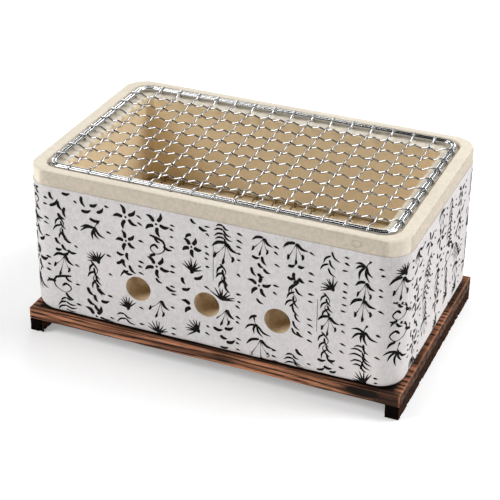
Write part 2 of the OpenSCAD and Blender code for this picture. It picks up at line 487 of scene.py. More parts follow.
def mottle_effect():
    """Soft blotches at two sizes, for colour that drifts over a surface."""
    tree, shader, start, end = new_group(
        "Mottle", (("Vector", "NodeSocketVector", None), ("Scale", "NodeSocketFloat", 20.0)),
        (("Mask", "NodeSocketFloat"),))
    large = shader.noise(start["Vector"], start["Scale"], 2.0)
    small_scale = shader.math("MULTIPLY", start["Scale"], 4.3)
    small = shader.noise(start["Vector"], small_scale, 3.0, 0.6)
    both = shader.math("ADD", shader.math("MULTIPLY", large, 0.65), shader.math("MULTIPLY", small, 0.35))
    shader.tree.links.new(shader.remap(both, 0.32, 0.68), end["Mask"])
    return tree


def grit_effect():
    """Fine mineral grain with scattered pits."""
    tree, shader, start, end = new_group(
        "Grit", (("Vector", "NodeSocketVector", None), ("Scale", "NodeSocketFloat", 900.0),
                 ("Pits", "NodeSocketFloat", 0.5)),
        (("Height", "NodeSocketFloat"), ("Pit mask", "NodeSocketFloat")))
    grain = shader.noise(start["Vector"], start["Scale"], 4.0, 0.7)
    pit_scale = shader.math("MULTIPLY", start["Scale"], 0.28)
    cells = shader.node("ShaderNodeTexVoronoi", {"Vector": start["Vector"], "Scale": pit_scale})
    pits = shader.remap(cells.outputs["Distance"], 0.10, 0.26, 1.0, 0.0)
    rare = shader.remap(shader.noise(start["Vector"], shader.math("MULTIPLY", start["Scale"], 0.11), 1.0),
                        0.50, 0.62)
    pits = shader.math("MULTIPLY", shader.math("MULTIPLY", pits, rare), start["Pits"])
    height = shader.math("SUBTRACT", grain, shader.math("MULTIPLY", pits, 1.6))
    shader.tree.links.new(height, end["Height"])
    shader.tree.links.new(pits, end["Pit mask"])
    return tree


def streak_effect():
    """Fine streaks that run along X, as in brushed wood and drawn wire."""
    tree, shader, start, end = new_group(
        "Streaks", (("Vector", "NodeSocketVector", None), ("Scale", "NodeSocketFloat", 600.0),
                    ("Along", "NodeSocketFloat", 0.04)),
        (("Mask", "NodeSocketFloat"),))
    parts = shader.node("ShaderNodeSeparateXYZ", {0: start["Vector"]}).outputs
    along = shader.math("MULTIPLY", parts[0], start["Along"])
    squeezed = shader.node("ShaderNodeCombineXYZ", {0: along, 1: parts[1], 2: parts[2]}).outputs[0]
    streaks = shader.noise(squeezed, start["Scale"], 3.0, 0.6, 0.3)
    shader.tree.links.new(shader.remap(streaks, 0.34, 0.66), end["Mask"])
    return tree


EFFECTS = {}


def effect(name):
    """A shared effect by name, built the first time it is asked for."""
    makers = {"mottle": mottle_effect, "grit": grit_effect, "streaks": streak_effect}
    if name not in EFFECTS:
        EFFECTS[name] = makers[name]()
    return EFFECTS[name]


# ---------------------------------------------------------------- materials


def new_material(name):
    """A material with an empty Principled shader: (material, its Shader, shader node, coordinates)."""
    material = bpy.data.materials.new(name)
    material.use_nodes = True
    tree = material.node_tree
    principled = tree.nodes["Principled BSDF"]
    shader = Shader(tree)
    place = shader.node("ShaderNodeTexCoord").outputs["Object"]
    return material, shader, principled, place


def finish(shader, principled, **feeds):
    """Feeds sockets or plain values to the Principled shader."""
    for name, value in feeds.items():
        socket = principled.inputs[name.replace("_", " ")]
        if isinstance(value, bpy.types.NodeSocket):
            shader.tree.links.new(value, socket)
        elif hasattr(value, "__len__"):
            socket.default_value = (*value[:3], 1.0)
        else:
            socket.default_value = value


def attribute(shader, name):
    """A number painted on the piece's vertices."""
    return shader.node("ShaderNodeAttribute", attribute_name=name).outputs["Fac"]


def tinted(colour, factor):
    """A colour made lighter or darker."""
    return tuple(min(1.0, c * factor) for c in colour)


def band_marks(shader, place):
    """A hairline seam by the front right corner, and a ring-shaped dent near it."""
    x, y, z = shader.node("ShaderNodeSeparateXYZ", {0: place}).outputs
    off_seam = shader.math("ABSOLUTE", shader.math("SUBTRACT", y, TUB_LOW.y + 12 * MM))
    seam = shader.remap(off_seam, 0.15 * MM, 0.45 * MM, 1.0, 0.0)
    seam = shader.math("MULTIPLY", seam, shader.math("GREATER_THAN", x, TUB_HIGH.x - 5 * MM))
    across = shader.math("MULTIPLY", shader.math("SUBTRACT", x, 95 * MM), 0.7)
    over = shader.math("SUBTRACT", z, TUB_HIGH.z - 5.6 * MM)
    square = shader.math("ADD", shader.math("MULTIPLY", across, across), shader.math("MULTIPLY", over, over))
    off_ring = shader.math("ABSOLUTE", shader.math("SUBTRACT", shader.math("SQRT", square), 2.1 * MM))
    ring = shader.remap(off_ring, 0.1 * MM, 0.5 * MM, 0.7, 0.0)
    ring = shader.math("MULTIPLY", ring, shader.math("LESS_THAN", y, TUB_LOW.y + 2 * MM))
    return shader.math("MULTIPLY", shader.math("MAXIMUM", seam, ring), attribute(shader, "side"))


def diatomite_material(settings):
    """Chalky baked diatomite: cream outside and tan where it was cut; the tan is partly the cut faces' own colour and
    partly painted bounce light that brightens the cavity, the darker band on the upright faces is partly grime and
    partly painted shade, and the vents and ash space carry painted shade.
    """
    material, shader, principled, place = new_material("Baked diatomite")
    inner = attribute(shader, "inner")
    blotch = shader.group(effect("mottle"), {"Vector": place, "Scale": 24.0}).outputs["Mask"]
    grit = shader.group(effect("grit"), {"Vector": place, "Scale": 1500.0, "Pits": 0.8})
    # The upright band darkens and greys: partly grime, partly painted shade.
    colour = shader.mix(attribute(shader, "side"), settings.colour, settings.side_colour)
    # The cavity's tan: partly its own colour, partly painted bounce light.
    colour = shader.mix(inner, colour, settings.inner_colour)
    colour = shader.mix(shader.math("MULTIPLY", blotch, 0.35), colour,
                        shader.mix(inner, tinted(settings.side_colour, 0.95), tinted(settings.inner_colour, 0.88)))
    colour = shader.mix(shader.math("MULTIPLY", grit.outputs["Pit mask"], 0.55), colour,
                        tinted(settings.inner_colour, 0.75))
    # Painted shade: the vent walls and the ash space darken towards this brown.
    colour = shader.mix(shader.math("MULTIPLY", attribute(shader, "recess_dark"), 0.8), colour,
                        settings.recess_shade_colour)
    chip = attribute(shader, "chip")
    colour = shader.mix(shader.math("MULTIPLY", chip, 0.5), colour, tinted(settings.inner_colour, 0.9))
    broad = shader.noise(place, 160.0, 3.0)
    flecks = shader.remap(shader.noise(place, 380.0, 3.0, 0.6), 0.40, 0.62)
    fleck_depth = shader.remap(attribute(shader, "side"), 0.0, 1.0, 0.16, 0.55)
    colour = shader.mix(shader.math("MULTIPLY", flecks, fleck_depth), colour,
                        shader.mix(inner, tinted(settings.side_colour, 0.78), tinted(settings.inner_colour, 0.72)))
    marks = band_marks(shader, place)
    colour = shader.mix(shader.math("MULTIPLY", marks, 0.55), colour, tinted(settings.side_colour, 0.4))
    height = shader.math("ADD", shader.math("MULTIPLY", grit.outputs["Height"], 0.5), broad)
    height = shader.math("SUBTRACT", height, marks)
    finish(shader, principled, Base_Color=colour, Roughness=0.93, Specular_IOR_Level=0.25,
           Normal=shader.bump(height, 0.25 * MM, 0.8))
    return material


def washi_material(settings):
    """Handmade paper: off-white, with long fibres and a faint mottle."""
    material, shader, principled, place = new_material("Washi")
    blotch = shader.group(effect("mottle"), {"Vector": place, "Scale": 38.0}).outputs["Mask"]
    long_fibres = shader.node("ShaderNodeTexNoise", {
        "Vector": shader.stretch(place, (260.0, 260.0, 90.0)), "Scale": 1.0, "Detail": 4.0,
        "Roughness": 0.6, "Distortion": 2.4}).outputs["Fac"]
    ridge = shader.remap(shader.math("ABSOLUTE", shader.math("SUBTRACT", long_fibres, 0.5)), 0.0, 0.035,
                         1.0, 0.0)
    cross_fibres = shader.node("ShaderNodeTexNoise", {
        "Vector": shader.stretch(place, (110.0, 110.0, 420.0)), "Scale": 1.0, "Detail": 3.0,
        "Roughness": 0.5, "Distortion": 3.1}).outputs["Fac"]
    cross = shader.remap(shader.math("ABSOLUTE", shader.math("SUBTRACT", cross_fibres, 0.5)), 0.0, 0.02,
                         1.0, 0.0)
    fibres = shader.math("MAXIMUM", ridge, cross)
    colour = shader.mix(shader.math("MULTIPLY", blotch, 0.5), settings.colour,
                        tinted(settings.colour, 0.93))
    flecks = shader.remap(shader.noise(place, 420.0, 3.0, 0.65), 0.36, 0.64)
    colour = shader.mix(shader.math("MULTIPLY", flecks, 0.6), colour, tinted(settings.colour, 0.80))
    colour = shader.mix(shader.math("MULTIPLY", fibres, 0.4), colour, (0.90, 0.89, 0.875))
    blush = shader.remap(shader.noise(place, 13.0, 1.0), 0.55, 0.72, 0.0, 0.35)
    colour = shader.mix(blush, colour, (0.77, 0.715, 0.69))
    grain = shader.noise(place, 1700.0, 3.0)
    height = shader.math("ADD", shader.math("MULTIPLY", fibres, 0.6), grain)
    finish(shader, principled, Base_Color=colour, Roughness=0.86, Specular_IOR_Level=0.3,
           Normal=shader.bump(height, 0.08 * MM, 0.7))
    return material


def ink_material(settings):
    """Brushed ink: black, with dry streaks where the brush ran out."""
    material, shader, principled, place = new_material("Brushed ink")
    dry = shader.remap(shader.noise(place, 900.0, 3.0, 0.7), 0.52, 0.70, 0.0, 0.35)
    colour = shader.mix(dry, settings.ink, (0.05, 0.047, 0.045))
    finish(shader, principled, Base_Color=colour, Roughness=0.7, Specular_IOR_Level=0.08,
           Normal=shader.bump(shader.noise(place, 1500.0), 0.04 * MM, 0.5))
    return material


def wire_material(name, colour, roughness):
    """Bright drawn wire with a faint drift in its polish."""
    material, shader, principled, place = new_material(name)
    drift = shader.group(effect("mottle"), {"Vector": place, "Scale": 90.0}).outputs["Mask"]
    polish = shader.remap(drift, 0.0, 1.0, roughness * 0.75, roughness * 1.35)
    tone = shader.mix(shader.math("MULTIPLY", drift, 0.4), colour, tinted(colour, 0.80))
    finish(shader, principled, Base_Color=tone, Metallic=1.0, Roughness=polish)
    return material


def wood_material(name, settings, char_bias):
    """Burnt and brushed cedar: brown ridges between charred grain lines."""
    material, shader, principled, place = new_material(name)
    ridge = attribute(shader, "ridge")
    char_and_shade = attribute(shader, "char_and_shade")
    streak = shader.group(effect("streaks"), {"Vector": place, "Scale": 1500.0, "Along": 0.035}).outputs["Mask"]
    broad = shader.group(effect("streaks"), {"Vector": place, "Scale": 330.0, "Along": 0.045}).outputs["Mask"]
    blotch = shader.group(effect("mottle"), {"Vector": place, "Scale": 55.0}).outputs["Mask"]
    grit = shader.group(effect("grit"), {"Vector": place, "Scale": 1400.0, "Pits": 0.4})
    brown = shader.mix(broad, tinted(settings.ridge_colour, 0.22), tinted(settings.ridge_colour, 1.75))
    brown = shader.mix(shader.math("MULTIPLY", streak, 0.4), brown, tinted(settings.ridge_colour, 0.22))
    brown = shader.mix(shader.math("MULTIPLY", blotch, 0.5), brown, tinted(settings.ridge_colour, 0.4))
    burn = shader.math("ADD", shader.math("SUBTRACT", 1.0, ridge),
                       shader.math("MULTIPLY", shader.math("SUBTRACT", streak, 0.5), 0.45))
    burn = shader.remap(burn, 0.42, 0.85, char_bias, 1.0)
    # This attribute carries charring and, on the board's top, the painted contact shadow under the tub.
    burn = shader.math("MAXIMUM", burn, char_and_shade)
    burn = shader.math("MULTIPLY", burn, shader.remap(attribute(shader, "end"), 0.0, 1.0, 1.0, 0.92))
    recess_dark = tinted(settings.char_colour, 1.0 - 0.75 * char_bias)
    char = shader.mix(streak, recess_dark, tinted(recess_dark, 2.2))
    colour = shader.mix(burn, brown, char)
    # Painted highlight: the arrises are lightened towards a light brown, on the board only.
    arris_highlight = shader.math("MULTIPLY", attribute(shader, "arris_highlight"), 0.75 * (1.0 - char_bias))
    colour = shader.mix(arris_highlight, colour, tinted(settings.ridge_colour, 1.3))
    height = shader.math("ADD", shader.math("MULTIPLY", streak, 0.8),
                         shader.math("MULTIPLY", grit.outputs["Height"], 0.35))
    finish(shader, principled, Base_Color=colour, Roughness=shader.remap(burn, 0.0, 1.0, 0.55, 0.8),
           Specular_IOR_Level=0.10 - 0.08 * char_bias, Normal=shader.bump(height, 0.18 * MM, 0.8))
    return material


# ---------------------------------------------------------------- fire box


def wire_drop(net):
    """How far a net's hooks reach below the middle of its rods."""
    return net.rod / 2 + net.wire + 0.05 * MM


def rebate_place(box):
    """Half length, half depth and corner radius of the rebate."""
    return (OUTER_ROD_HIGH.x + box.rebate_gap + 0.07 * MM, OUTER_ROD_HIGH.y + box.rebate_gap + 0.07 * MM,
            11.2 * MM)


def tub_stations(box, net):
    """The tub's section, from the underside up the outside, over the rim and down to the floor."""
    half_x, half_y, low, high = TUB_HIGH.x, TUB_HIGH.y, TUB_LOW.z, TUB_HIGH.z
    corner, sole, rim = box.corner_radius, box.sole_round, box.rim_round
    stations = []
    for k in range(9):
        a = math.pi / 2 * k / 8
        inset = sole * (1 - math.sin(a))
        stations.append((half_x - inset, half_y - inset, corner - inset, low + sole * (1 - math.cos(a))))
    paper_top = WRAP_HIGH.z - 1.5 * MM
    for z in span(low + sole, paper_top, 9 * MM)[1:]:
        stations.append((half_x, half_y, corner, z))
    for z in span(paper_top, high - rim, 0.8 * MM)[1:]:
        stations.append((half_x, half_y, corner, z))
    for k in range(1, 8):
        a = math.pi / 2 * k / 7
        inset = rim * (1 - math.cos(a))
        stations.append((half_x - inset, half_y - inset, corner - inset, high - rim * (1 - math.sin(a))))
    rebate_x, rebate_y, rebate_r = rebate_place(box)
    edge = 0.7 * MM
    start = (half_x - rim, half_y - rim, corner - rim)
    end = (rebate_x + edge, rebate_y + edge, rebate_r + edge)
    steps = 7
    for k in range(1, steps + 1):
        t = k / steps
        stations.append(tuple(a + (b - a) * t for a, b in zip(start, end)) + (high,))
    for a in (30, 60, 90):
        a = math.radians(a)
        out = edge * (1 - math.sin(a))
        stations.append((rebate_x + out, rebate_y + out, rebate_r + out, high - edge * (1 - math.cos(a))))
    shelf = high - box.rebate_depth
    stations += [(rebate_x, rebate_y, rebate_r, (high - edge + shelf) / 2),
                 (rebate_x, rebate_y, rebate_r, shelf + 0.4 * MM),
                 (rebate_x - 0.4 * MM, rebate_y - 0.4 * MM, rebate_r - 0.4 * MM, shelf)]
    cavity_x, cavity_y, cavity_r = half_x - box.wall, half_y - box.wall, box.inner_radius
    soft = 1.8 * MM
    start = (rebate_x - 0.4 * MM, rebate_y - 0.4 * MM, rebate_r - 0.4 * MM)
    end = (cavity_x + soft, cavity_y + soft, cavity_r + soft)
    for k in range(1, steps + 1):
        t = k / steps
        stations.append(tuple(a + (b - a) * t for a, b in zip(start, end)) + (shelf,))
    for a in (22.5, 45, 67.5, 90):
        a = math.radians(a)
        out = soft * (1 - math.sin(a))
        stations.append((cavity_x + out, cavity_y + out, cavity_r + out, shelf - soft * (1 - math.cos(a))))
    ledge = middle("grate_rod").z - wire_drop(net)
    for z in span(shelf - soft, ledge + 0.8 * MM, 4 * MM)[1:]:
        stations.append((cavity_x, cavity_y, cavity_r, z))
    ash_x, ash_y = cavity_x - box.ledge_width, cavity_y - box.ledge_width
    for t in (0.08, 0.35, 0.65, 0.92):
        inset = box.ledge_width * t
        stations.append((cavity_x - inset, cavity_y - inset, cavity_r, ledge))
    floor = low + box.floor
    for z in span(ledge - 0.8 * MM, floor + 0.6 * MM, 5 * MM):
        stations.append((ash_x, ash_y, cavity_r, z))
    stations.append((ash_x - 0.6 * MM, ash_y - 0.6 * MM, cavity_r, floor))
    return stations


def cut_vents(piece, vents, extra, back):
    """Drills the three vents through the front of a piece, as deep as the plane at back."""
    front = TUB_LOW.y - 4 * MM
    cutters = []
    for k in (-1, 0, 1):
        bpy.ops.mesh.primitive_cylinder_add(
            vertices=72, radius=vents.diameter / 2 + extra, depth=back - front,
            location=(k * vents.pitch, (front + back) / 2, TUB_LOW.z + vents.height),
            rotation=(math.pi / 2, 0, 0))
        cutter = bpy.context.object
        cutters.append(cutter)
        cut = piece.modifiers.new("vent", "BOOLEAN")
        cut.operation, cut.object, cut.solver = "DIFFERENCE", cutter, "EXACT"
    apply_modifiers(piece)
    for cutter in cutters:
        bpy.data.objects.remove(cutter)


def wear_rim(points, normals, box, rng):
    """Chips and dents along the rim, and the soft unevenness of a cut block: (points, chip mask)."""
    points, normals = np.array(points), np.array(normals)
    high = TUB_HIGH.z
    band = WRAP_HIGH.z - 1 * MM
    chip = np.zeros(len(points))
    near = np.where(points[:, 2] > band)[0]
    for i in near:
        p = points[i]
        fade = min(1.0, (p[2] - band) / (2 * MM))
        drift = 0.10 * rough(p, 16 * MM, 3.1) + 0.05 * rough(p, 4 * MM, 8.2) + 0.035 * rough(p, 1.6 * MM, 5.5)
        points[i] = p + normals[i] * (drift - 0.10) * MM * fade
    outer = Outline(TUB_HIGH.x, TUB_HIGH.y, box.corner_radius)
    rebate = Outline(*rebate_place(box))
    for k in range(box.chips):
        place = rng.random()
        line = outer if place < 0.72 else rebate
        (x, y), (nx, ny) = line.at(rng.random() * line.length)
        if place < 0.34:
            centre = (x - nx * 0.7 * MM, y - ny * 0.7 * MM, high - 0.7 * MM)
        elif place < 0.72:
            centre = (x, y, high - rng.uniform(2.0, 9.5) * MM)
        else:
            centre = (x + nx * 0.2 * MM, y + ny * 0.2 * MM, high - 0.2 * MM)
        size = rng.uniform(0.7, 1.9) * MM
        depth = rng.uniform(0.10, 0.42) * MM
        squash = np.array((1.0, 1.0, rng.uniform(0.9, 1.8)))
        away = np.linalg.norm((points[near] - np.array(centre)) * squash, axis=1) / size
        hit = near[away < 1]
        bowl = (1 - away[away < 1] ** 2) ** 1.5
        points[hit] -= normals[hit] * (bowl * depth)[:, None]
        chip[hit] = np.maximum(chip[hit], bowl)
    return points, chip


def build_tub(box, vents, net):
    """The diatomite tub."""
    piece = new_piece("tub", *loft(tub_stations(box, net), (260, 150, 18)), [diatomite_material(box)])
    normals = [v.normal.copy() for v in piece.data.vertices]
    points = [v.co.copy() for v in piece.data.vertices]
    points, chip = wear_rim(points, normals, box, random.Random(5))
    piece.data.vertices.foreach_set("co", points.astype(np.float32).ravel())
    piece.data.update()
    paint(piece, "chip", chip)
    cut_vents(piece, vents, 0.0, TUB_LOW.y + box.wall + box.ledge_width + 4 * MM)
    shelf = TUB_HIGH.z - box.rebate_depth
    inner, recess_dark, side = [], [], []
    ash_level = middle("grate_rod").z - wire_drop(net) - 0.4 * MM
    for v in piece.data.vertices:
        x, y, z = v.co
        out_x = abs(x) - (TUB_HIGH.x - box.wall)
        out_y = abs(y) - (TUB_HIGH.y - box.wall)
        inside = out_x < 0.5 * MM and out_y < 0.5 * MM
        vent = z < WRAP_HIGH.z - 2 * MM and out_y > 0
        mouth = abs(y) > TUB_HIGH.y - 0.5 * MM
        depth = (shelf - z) / (1.0 * MM)
        inner.append(max(0.0, min(1.0, depth)) if inside else 1.0 if vent else 0.0)
        # Painted shade: vent walls darker past their mouths, and the ash space below the grate's ledge.
        recess_dark.append((0.75 if mouth else 1.2) if vent else 1.0 if inside and z < ash_level else 0.0)
        edge = max(out_x, out_y) - box.wall + 1.2 * MM
        side.append(max(0.0, min(1.0, edge / (0.8 * MM))) if z < TUB_HIGH.z - 0.6 * MM else 0.0)
    paint(piece, "inner", inner)
    paint(piece, "recess_dark", recess_dark)
    paint(piece, "side", side)
    sharpen(piece, 50)
    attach(piece, "fire_box")
    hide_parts("fire_box_tub")


# ---------------------------------------------------------------- paper wrap and ink


class Sheet:
    """The wrap's outer face, addressed by distance round it and distance down from its top edge."""

    def __init__(self, box):
        self.grow = WRAP_HIGH.x - TUB_HIGH.x
        self.line = Outline(WRAP_HIGH.x, WRAP_HIGH.y, box.corner_radius + self.grow)
        self.sole = box.sole_round + self.grow
        self.top = WRAP_HIGH.z
        self.bend = TUB_LOW.z + box.sole_round
        self.straight = self.top - self.bend
        self.curl = math.asin(min(1.0, (self.bend - WRAP_LOW.z) / self.sole))
        self.depth = self.straight + self.sole * self.curl

    def at(self, s, down, lift=0.0):
        """A point on the sheet, lifted off it along its normal."""
        (x, y), (nx, ny) = self.line.at(s)
        if down <= self.straight:
            return (x + nx * lift, y + ny * lift, self.top - down)
        a = (down - self.straight) / self.sole
        inset = self.sole - (self.sole + lift) * math.cos(a)
        return (x - nx * inset, y - ny * inset, self.bend - (self.sole + lift) * math.sin(a))


def build_wrap(box, vents, paper):
    """The paper: a thin closed skin round the tub, curled under its bottom edge."""
    sheet = Sheet(box)
    half_x, half_y, corner = WRAP_HIGH.x, WRAP_HIGH.y, box.corner_radius + sheet.grow
    outside = []
    for k in range(7, 0, -1):
        a = sheet.curl * k / 7
        inset = sheet.sole * (1 - math.cos(a))
        outside.append((half_x - inset, half_y - inset, corner - inset, sheet.bend - sheet.sole * math.sin(a)))
    for z in span(sheet.bend, sheet.top, 3 * MM):
        outside.append((half_x, half_y, corner, z))
    under = sheet.grow - 0.03 * MM
    inside = [(x - under, y - under, r - under, z) for x, y, r, z in reversed(outside)]
    points, faces = loft(outside + inside, (150, 84, 16), closed=True)
    points = np.array(points)
    normals = points.copy()
    normals[:, 2] = 0
    normals /= np.linalg.norm(normals, axis=1)[:, None]
    for i, p in enumerate(points):
        top = max(0.0, 1 - (sheet.top - p[2]) / (4 * MM))
        points[i, 2] -= top * (0.16 + 0.16 * rough(p * (1, 1, 0), 21 * MM)) * MM
        foot = max(0.0, 1 - (p[2] - WRAP_LOW.z) / (6 * MM))
        points[i, 2] += foot * 0.5 * MM * (0.5 + 0.5 * rough(p * (1, 1, 0), 14 * MM, 4.0))
    piece = new_piece("paper_wrap", points, faces, [washi_material(paper)])
    cut_vents(piece, vents, 0.12 * MM, TUB_LOW.y + 6 * MM)
    sharpen(piece, 45)
    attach(piece, "fire_box")
    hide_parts("washi_wrap")


def smooth_line(controls, count):
    """Points of a smooth curve through control points."""
    ends = [controls[0]] + list(controls) + [controls[-1]]
    points = []
    for k in range(count + 1):
        t = k / count * (len(controls) - 1)
        i = min(int(t), len(controls) - 2)
        t -= i
        a, b, c, d = (Vector(ends[i + j]) for j in range(4))
        points.append(0.5 * (2 * b + (c - a) * t + (2 * a - 5 * b + 4 * c - d) * t * t
                             + (3 * b - a - 3 * c + d) * t ** 3))
    return points


def brush_width(kind, t):
    """How wide a stroke is along its length, from 0 to 1."""
    if kind == "dab":
        return math.sin(math.pi * min(1.0, t ** 0.7 + 0.02)) ** 0.7
    if kind == "leaf":
        return min(1.0, 0.45 + 3.5 * t) * min(1.0, 2.2 * (1 - t)) ** 0.8
    if kind == "flick":
        return (1 - t) ** 0.6 * min(1.0, 0.55 + 3 * t)
    if kind == "line":
        return 0.9 if 0.02 < t < 0.98 else 0.5
    return (0.62 + 0.38 * math.cos(2 * math.pi * t)) * min(1.0, 6 * t + 0.5, 5 * (1 - t) + 0.45)


def turned(strokes, angle):
    """Strokes turned about the middle of their mark."""
    c, d = math.cos(angle), math.sin(angle)
    return [(kind, width, [(x * c - y * d, x * d + y * c) for x, y in path]) for kind, width, path in strokes]


def leaf(x, y, angle, reach, width):
    """One pointed leaf that springs from a place; the angle is measured down from the right."""
    c, d = math.cos(angle), math.sin(angle)
    reach *= 1.3
    bow = reach * 0.16
    return ("leaf", width * 0.66, [(x, y), (x + c * reach * 0.5 - d * bow, y + d * reach * 0.5 + c * bow),
                            (x + c * reach, y + d * reach)])


def bamboo_leaves(rng):
    """Long leaves that hang and fan from a thin twig."""
    strokes = [("sweep", 0.85, [(0.04, -0.5), (-0.02, -0.28), (0.0, -0.1)])]
    for angle in (0.35, 0.95, 1.6, 2.25, 2.85):
        reach = rng.uniform(0.34, 0.52)
        strokes.append(leaf(rng.uniform(-0.06, 0.06), -0.14 + rng.uniform(-0.06, 0.06),
                            angle + rng.uniform(-0.2, 0.2), reach, 1.35))
    return turned(strokes, rng.uniform(-0.5, 0.5))


def blossom(rng):
    """Five round petals and their stamens."""
    turn = rng.uniform(0, 2)
    strokes = []
    for k in range(5):
        a = turn + k * math.tau / 5
        strokes.append(leaf(0.13 * math.cos(a), 0.13 * math.sin(a), a, 0.30, 2.0))
    strokes.append(("dab", 0.9, [(-0.05, 0.0), (0.05, 0.0)]))
    return strokes


def fern_frond(rng):
    """A bowed stalk with leaflets in pairs."""
    bow = rng.choice((-1, 1)) * rng.uniform(0.10, 0.22)
    strokes = [("sweep", 0.9, [(-bow, -0.5), (bow * 0.4, -0.1), (bow, 0.5)])]
    for k in range(5):
        y = -0.38 + 0.19 * k
        x = -bow + 2 * bow * (y + 0.5)
        reach = 0.20 + 0.20 * math.sin(math.pi * (k + 0.6) / 5)
        strokes.append(leaf(x, y, 0.45 + rng.uniform(-0.15, 0.15), reach, 1.05))
        strokes.append(leaf(x, y, math.pi - 0.45 + rng.uniform(-0.15, 0.15), reach, 1.05))
    return turned(strokes, rng.uniform(-0.35, 0.35))


def willow_strand(rng):
    """A hanging strand with leaves on alternate sides."""
    side = rng.choice((-1, 1))
    strokes = [("sweep", 0.8, [(-0.16 * side, -0.5), (0.10 * side, -0.16), (-0.10 * side, 0.18), (0.14 * side, 0.5)])]
    for k in range(6):
        y = -0.42 + 0.16 * k
        a = 0.95 if k % 2 else math.pi - 0.95
        strokes.append(leaf(0.05 * math.sin(5 * y) * side, y, a + rng.uniform(-0.25, 0.25),
                            rng.uniform(0.28, 0.4), 1.15))
    return strokes


def pine_fan(rng):
    """Needles that fan from one bud."""
    strokes = []
    for k in range(8):
        a = -2.75 + 0.34 * k + rng.uniform(-0.08, 0.08)
        reach = rng.uniform(0.44, 0.58)
        strokes.append(("flick", 0.85, [(0.0, 0.24), (0.5 * reach * math.cos(a), 0.24 + 0.5 * reach * math.sin(a)),
                                        (reach * math.cos(a), 0.24 + reach * math.sin(a))]))
    strokes.append(("dab", 1.7, [(-0.09, 0.26), (0.09, 0.27)]))
    return turned(strokes, rng.uniform(-1.2, 1.2))


def vine_curl(rng):
    """A curling vine with a leaf at each bend."""
    side = rng.choice((-1, 1))
    curl = [(0.34 * side, -0.48), (-0.30 * side, -0.30), (-0.36 * side, 0.10), (0.04 * side, 0.34),
            (0.32 * side, 0.12), (0.12 * side, -0.08), (-0.06 * side, 0.06)]
    return [("sweep", 1.1, curl), leaf(-0.32 * side, -0.1, 1.57 + 1.3 * side, 0.34, 1.6),
            leaf(0.08 * side, 0.36, 1.57 - 0.9 * side, 0.3, 1.6), leaf(0.1 * side, -0.4, 0.6, 0.26, 1.4)]


def berries(rng):
    """Berries on thin bent stalks, with a leaf."""
    strokes = [leaf(-0.05, -0.42, 2.5, 0.42, 1.7), leaf(0.02, -0.42, 0.5, 0.4, 1.6)]
    for x, y in ((-0.3, 0.22), (0.02, 0.38), (0.3, 0.14)):
        x, y = x + rng.uniform(-0.05, 0.05), y + rng.uniform(-0.06, 0.06)
        strokes.append(("sweep", 0.5, [(0.0, -0.42), (x * 0.4, -0.1), (x, y)]))
        strokes.append(("dab", 2.2, [(x - 0.05, y), (x, y), (x + 0.06, y)]))
    return turned(strokes, rng.uniform(-0.4, 0.4))


def drifting_leaves(rng):
    """Loose leaves, each turned its own way."""
    strokes = []
    for x, y in ((-0.28, -0.34), (0.2, -0.4), (0.02, -0.06), (-0.3, 0.2), (0.28, 0.16), (0.0, 0.44)):
        strokes.append(leaf(x - 0.1, y, rng.uniform(-0.9, 1.6), rng.uniform(0.24, 0.36), 1.7))
    return strokes


MARKS = (bamboo_leaves, blossom, fern_frond, willow_strand, pine_fan, vine_curl, berries, drifting_leaves)


class InkPrint:
    """Collects brush strokes as thin ribbons that lie on the sheet."""

    def __init__(self, sheet, vents, lift):
        self.sheet, self.lift = sheet, lift
        self.points, self.faces = [], []
        front_middle = sheet.line.long / 2
        down = sheet.top - (TUB_LOW.z + vents.height)
        self.holes = [(front_middle + k * vents.pitch, down) for k in (-1, 0, 1)]
        self.clear = vents.diameter / 2 + 0.25 * MM

    def stroke(self, kind, width, path):
        """One ribbon along a path of (distance round, distance down)."""
        for p in path:
            if not 0.8 * MM < p[1] < self.sheet.depth - 0.6 * MM:
                return
            if any(math.hypot(p[0] - hole[0], p[1] - hole[1]) < self.clear + width / 2 for hole in self.holes):
                return
        first = len(self.points)
        last = len(path) - 1
        lift = self.lift + 0.006 * MM * (len(self.faces) % 7)
        for k, p in enumerate(path):
            way = Vector(path[min(k + 1, last)]) - Vector(path[max(k - 1, 0)])
            if way.length < 1e-9:
                way = Vector((0, 1))
            way.normalize()
            half = width / 2 * max(0.08, brush_width(kind, k / last))
            for side in (1, -1):
                self.points.append(self.sheet.at(p[0] - way[1] * half * side, p[1] + way[0] * half * side,
                                                 lift))
        for k in range(last):
            a = first + 2 * k
            self.faces.append((a, a + 1, a + 3, a + 2))

    def mark(self, s, down, size, shape, rng, weight):
        """One mark, scaled to its size and set upright at its place."""
        stretch = rng.uniform(0.9, 1.12)
        for kind, width, controls in shape(rng):
            corners = [Vector((*corner, 0.0)) for corner in controls]
            path = [(s + p.x * size * stretch, down + p.y * size)
                    for p in smooth_line(corners, 10 if len(corners) < 5 else 18)]
            self.stroke(kind, width * weight, path)


